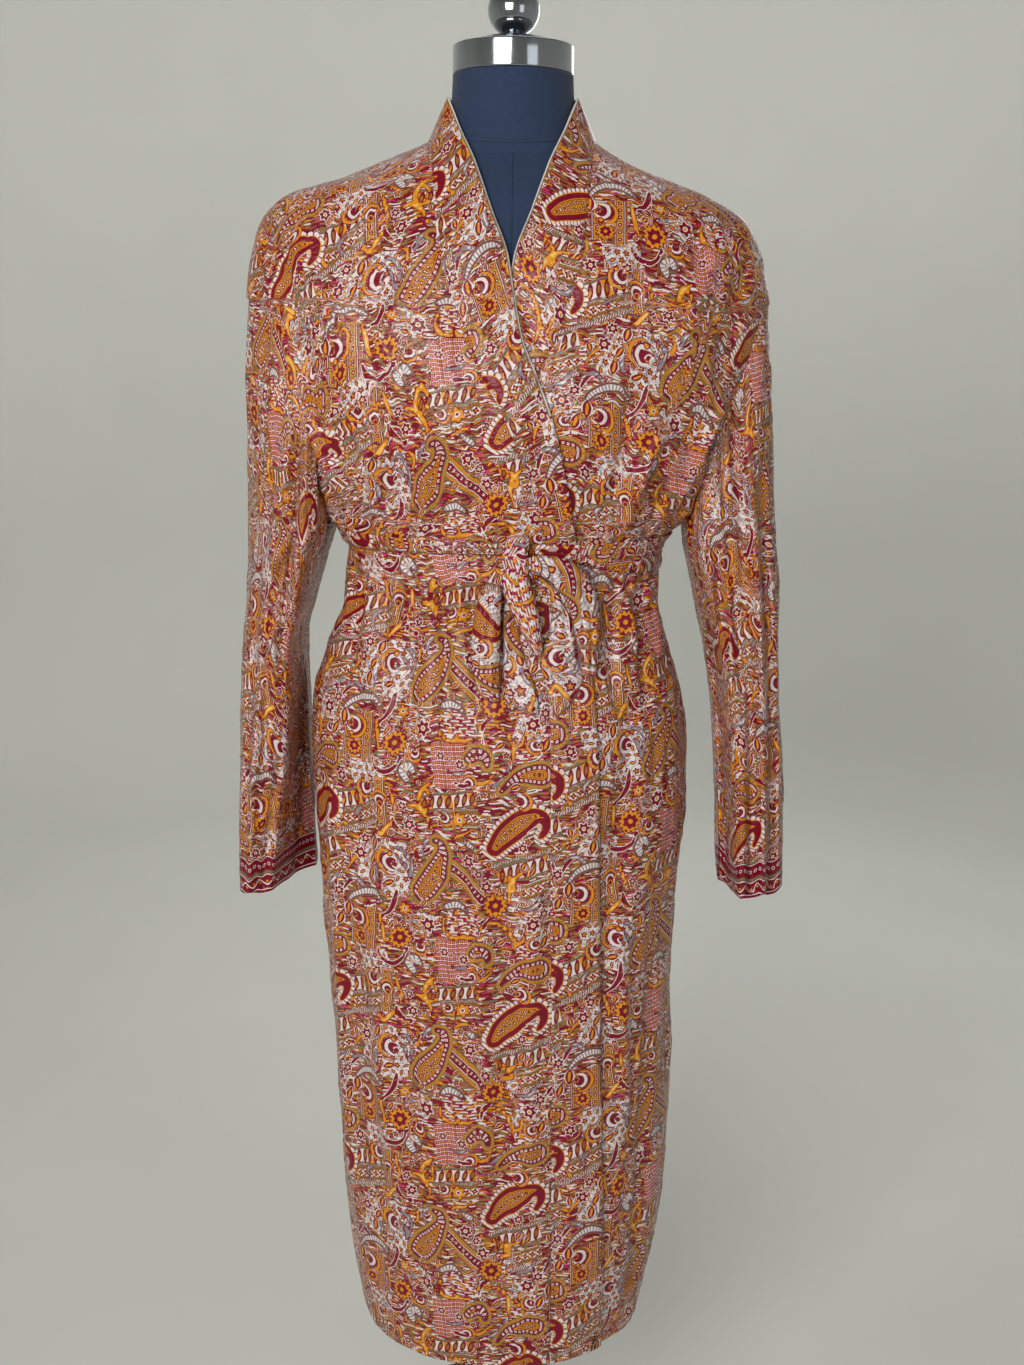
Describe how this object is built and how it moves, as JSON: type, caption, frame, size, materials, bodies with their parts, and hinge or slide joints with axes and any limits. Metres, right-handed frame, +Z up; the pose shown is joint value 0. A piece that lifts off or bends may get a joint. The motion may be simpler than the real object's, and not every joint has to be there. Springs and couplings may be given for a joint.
{
  "type": "kimono robe on dress form",
  "caption": "Long printed satin kimono robe with a wrap front, neckband, straight open sleeves and a tied narrow belt, on a limbless jersey dress form with a round-based stand.",
  "frame": {"origin": "centre of the underside of the stand's round base", "axes": "+Z up along the stand's pole, -Y towards the front of the robe, +X to the right of someone who faces the robe"},
  "size_m": [0.584, 0.35, 1.6541],
  "materials": {
    "printed_satin": "soft satin sheen, paisley print in maroon, amber, taupe and lilac white",
    "printed_satin_trim": "the same satin cut along its striped parts",
    "black_jersey": "matt stretch jersey",
    "chrome": "polished",
    "steel_tube": "plain bright tube",
    "black_base": "satin black"
  },
  "bodies": {
    "root": {"back": "printed_satin", "front_right": "printed_satin", "front_left": "printed_satin", "neckband_right": "printed_satin_trim", "neckband_left": "printed_satin_trim", "sleeve_right": "printed_satin", "sleeve_left": "printed_satin", "belt": "printed_satin_trim", "belt_knot": "printed_satin_trim", "bow_loop_left": "printed_satin_trim", "bow_loop_middle": "printed_satin_trim", "bow_wing_right": "printed_satin_trim", "belt_tail_left": "printed_satin_trim", "belt_tail_right": "printed_satin_trim", "form_torso": "black_jersey", "neck_cap": "chrome", "ball_finial": "chrome", "pole": "steel_tube", "stand_base": "black_base"}
  },
  "joints": []
}
